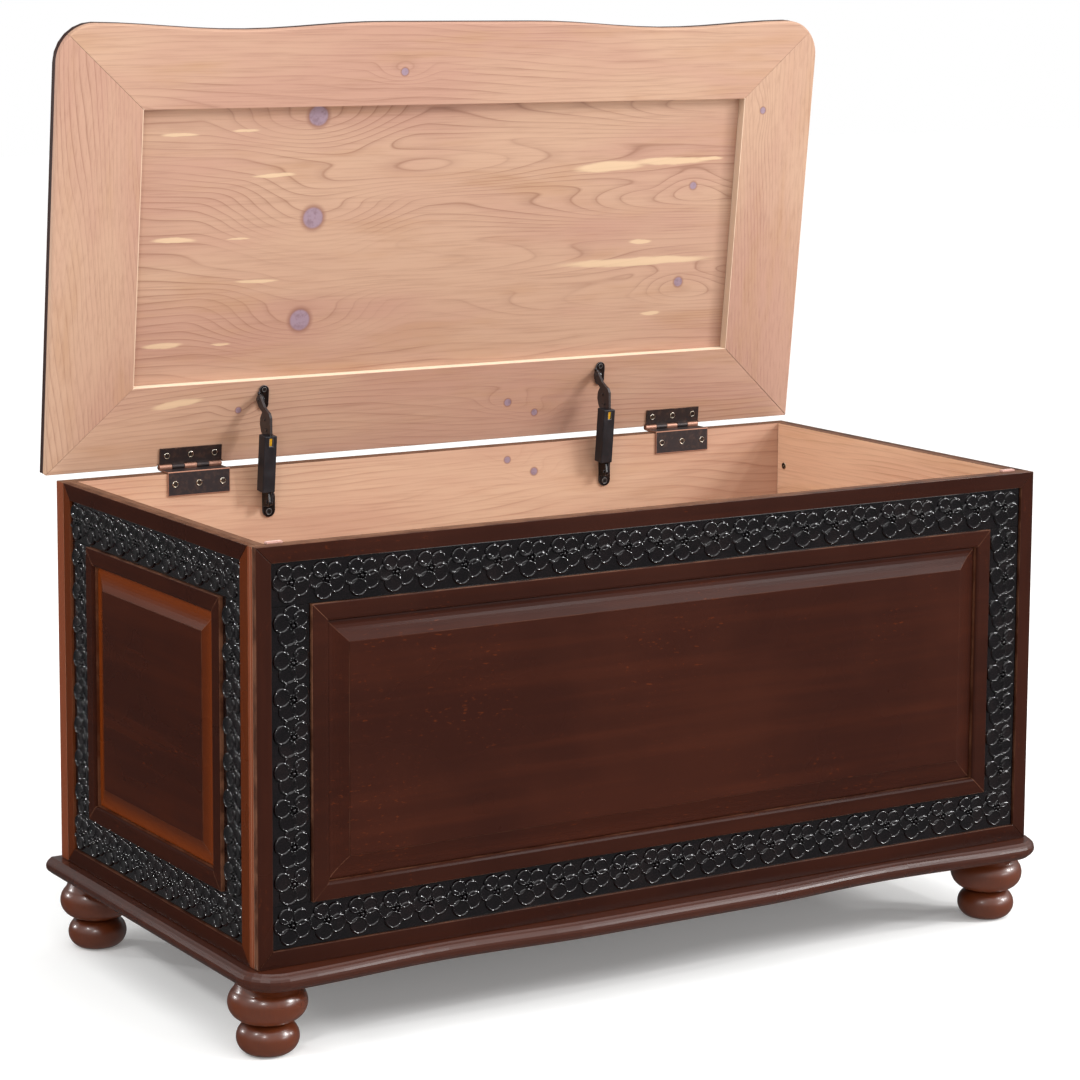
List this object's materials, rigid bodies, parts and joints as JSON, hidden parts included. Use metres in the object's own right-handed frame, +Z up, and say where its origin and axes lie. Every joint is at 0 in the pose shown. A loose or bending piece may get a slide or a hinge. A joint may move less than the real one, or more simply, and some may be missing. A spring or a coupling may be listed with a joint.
{
  "type": "wooden storage chest",
  "caption": "Cedar-lined blanket chest with carved flower borders and raised panels on front and sides, bun feet, and a framed lid held open by two hinges and two sprung lid stays.",
  "frame": {"origin": "on the floor, in the middle of the box", "axes": "+X along the front to the right, +Y to the back, +Z up; the lid is at rest standing open"},
  "size_m": [1.032, 0.544, 1.0422],
  "materials": {
    "stained_wood": "dark reddish-brown stain under satin lacquer",
    "dark_carving": "near-black glossy stain",
    "cedar": "bare cedar with a thin clear coat",
    "dark_bronze": "oil-rubbed bronze, worn to copper on the edges",
    "black_steel": "black enamel on pressed steel",
    "yellow_plastic": "yellow marker behind the stay's window",
    "felt_pad": "pinkish felt bumper"
  },
  "bodies": {
    "chest": {"back_board": "stained_wood", "base_board": "stained_wood", "bottom_board": "cedar", "foot_back_left": "stained_wood", "foot_back_right": "stained_wood", "foot_front_left": "stained_wood", "foot_front_right": "stained_wood", "front_bottom_rail": "stained_wood", "front_carved_strip_bottom": "dark_carving", "front_carved_strip_left": "dark_carving", "front_carved_strip_right": "dark_carving", "front_carved_strip_top": "dark_carving", "front_left_stile": "stained_wood", "front_panel_moulding": "stained_wood", "front_raised_panel": "stained_wood", "front_right_stile": "stained_wood", "front_top_rail": "stained_wood", "front_wall_board": "cedar", "hinge_left_box_leaf": "dark_bronze", "hinge_left_pin": "dark_bronze", "hinge_right_box_leaf": "dark_bronze", "hinge_right_pin": "dark_bronze", "left_bottom_rail": "stained_wood", "left_carved_strip_bottom": "dark_carving", "left_carved_strip_left": "dark_carving", "left_carved_strip_right": "dark_carving", "left_carved_strip_top": "dark_carving", "left_left_stile": "stained_wood", "left_panel_moulding": "stained_wood", "left_raised_panel": "stained_wood", "left_right_stile": "stained_wood", "left_top_rail": "stained_wood", "left_wall_board": "cedar", "right_bottom_rail": "stained_wood", "right_carved_strip_bottom": "dark_carving", "right_carved_strip_left": "dark_carving", "right_carved_strip_right": "dark_carving", "right_carved_strip_top": "dark_carving", "right_left_stile": "stained_wood", "right_panel_moulding": "stained_wood", "right_raised_panel": "stained_wood", "right_right_stile": "stained_wood", "right_top_rail": "stained_wood", "right_wall_board": "cedar", "stay_left_box_bracket": "black_steel", "stay_right_box_bracket": "black_steel"},
    "lid": {"hinge_left_lid_leaf": "dark_bronze", "hinge_right_lid_leaf": "dark_bronze", "lid_cedar_panel": "cedar", "lid_rail_back": "cedar", "lid_rail_front": "cedar", "lid_rail_left": "cedar", "lid_rail_right": "cedar", "lid_top_board": "stained_wood", "stay_left_lid_bracket": "black_steel", "stay_right_lid_bracket": "black_steel"},
    "stay_left_arm": {"stay_left_housing": "black_steel"},
    "stay_left_link": {"stay_left_link": "black_steel"},
    "stay_right_arm": {"stay_right_housing": "black_steel"},
    "stay_right_link": {"stay_right_link": "black_steel"}
  },
  "joints": [
    {"name": "lid_hinge", "type": "hinge", "parent": "chest", "child": "lid", "pos_m": [0, 0.252, 0.5355], "axis": [1, 0, 0], "range_deg": [0, 83.6]},
    {"name": "stay_left_arm_pivot", "type": "hinge", "parent": "chest", "child": "stay_left_arm", "pos_m": [-0.2525, 0.217, 0.4915], "axis": [1, 0, 0], "range_deg": [0, 91.7]},
    {"name": "stay_left_elbow", "type": "hinge", "parent": "stay_left_arm", "child": "stay_left_link", "pos_m": [-0.2525, 0.21, 0.5615], "axis": [1, 0, 0], "range_deg": [-99.6, 0]},
    {"name": "stay_right_arm_pivot", "type": "hinge", "parent": "chest", "child": "stay_right_arm", "pos_m": [0.21, 0.217, 0.4915], "axis": [1, 0, 0], "range_deg": [0, 91.7]},
    {"name": "stay_right_elbow", "type": "hinge", "parent": "stay_right_arm", "child": "stay_right_link", "pos_m": [0.21, 0.21, 0.5615], "axis": [1, 0, 0], "range_deg": [-99.6, 0]}
  ],
  "couplings": [
    {"joint": "stay_left_arm_pivot", "follows": "lid_hinge", "ratio": 1.0963},
    {"joint": "stay_left_elbow", "follows": "lid_hinge", "ratio": -1.1906},
    {"joint": "stay_right_arm_pivot", "follows": "lid_hinge", "ratio": 1.0963},
    {"joint": "stay_right_elbow", "follows": "lid_hinge", "ratio": -1.1906}
  ]
}
